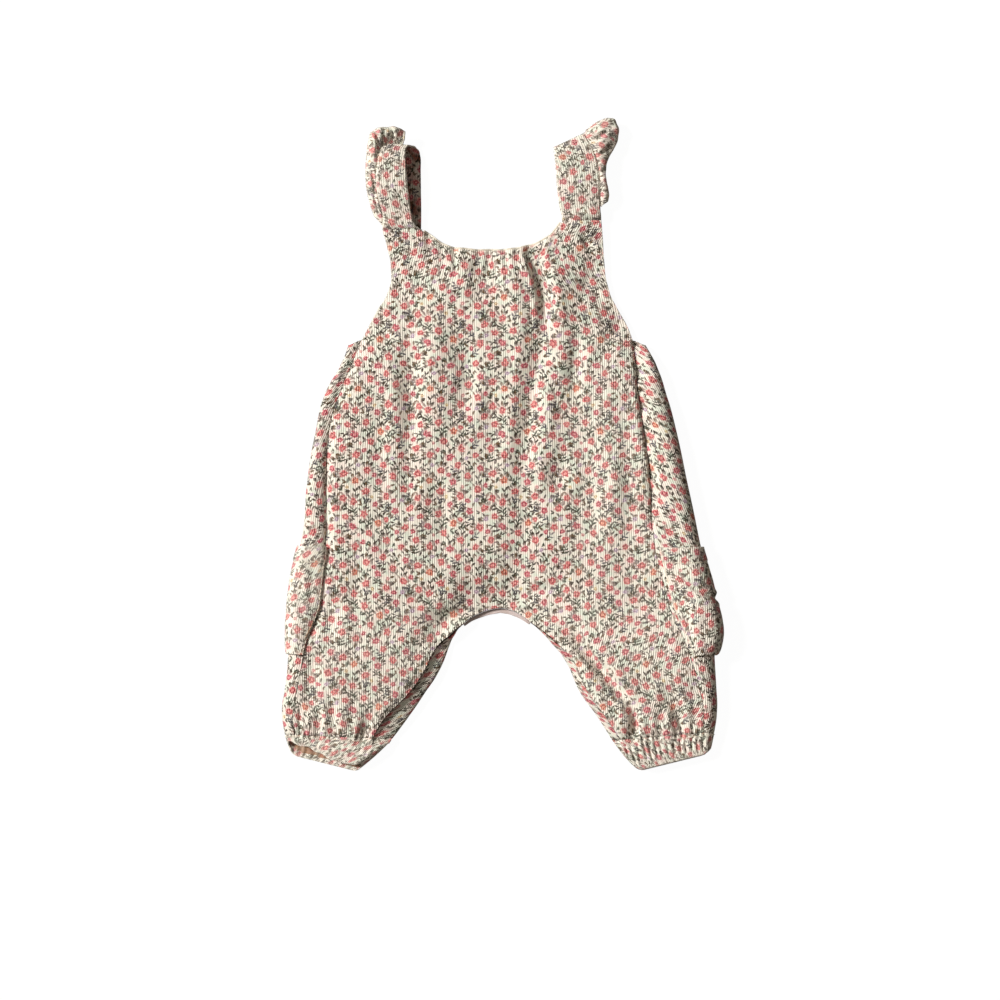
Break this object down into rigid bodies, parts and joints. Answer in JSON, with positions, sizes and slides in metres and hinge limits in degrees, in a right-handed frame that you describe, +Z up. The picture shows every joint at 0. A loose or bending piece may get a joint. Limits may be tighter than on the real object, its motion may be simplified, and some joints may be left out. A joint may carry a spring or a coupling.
{
  "type": "baby overalls",
  "caption": "Baby overalls in fine printed needlecord, laid flat: wide-strapped bib with shoulder frills, side patch pockets and gathered elastic cuffs.",
  "frame": {"origin": "middle of the footprint, on the surface that the garment lies on", "axes": "+Z up from the surface, out of the garment's front; +Y from the leg cuffs to the shoulders; +X to the wearer's left, which is the right of the picture"},
  "size_m": [0.3172, 0.4713, 0.0223],
  "materials": {
    "cord_front": "matt needlecord with a small floral print",
    "cord_back": "matt needlecord with a small floral print",
    "cord_trim": "matt needlecord with a small floral print",
    "binding": "matt cotton",
    "band": "matt cotton"
  },
  "bodies": {
    "root": {"front_panel": "cord_front", "back_panel": "cord_back", "strap_left": "cord_trim", "strap_right": "cord_trim", "ruffle_left": "cord_trim", "ruffle_right": "cord_trim", "pocket_left": "cord_trim", "pocket_right": "cord_trim", "cuff_left": "cord_trim", "cuff_right": "cord_trim", "neck_binding": "binding", "crotch_band": "band"}
  },
  "joints": []
}
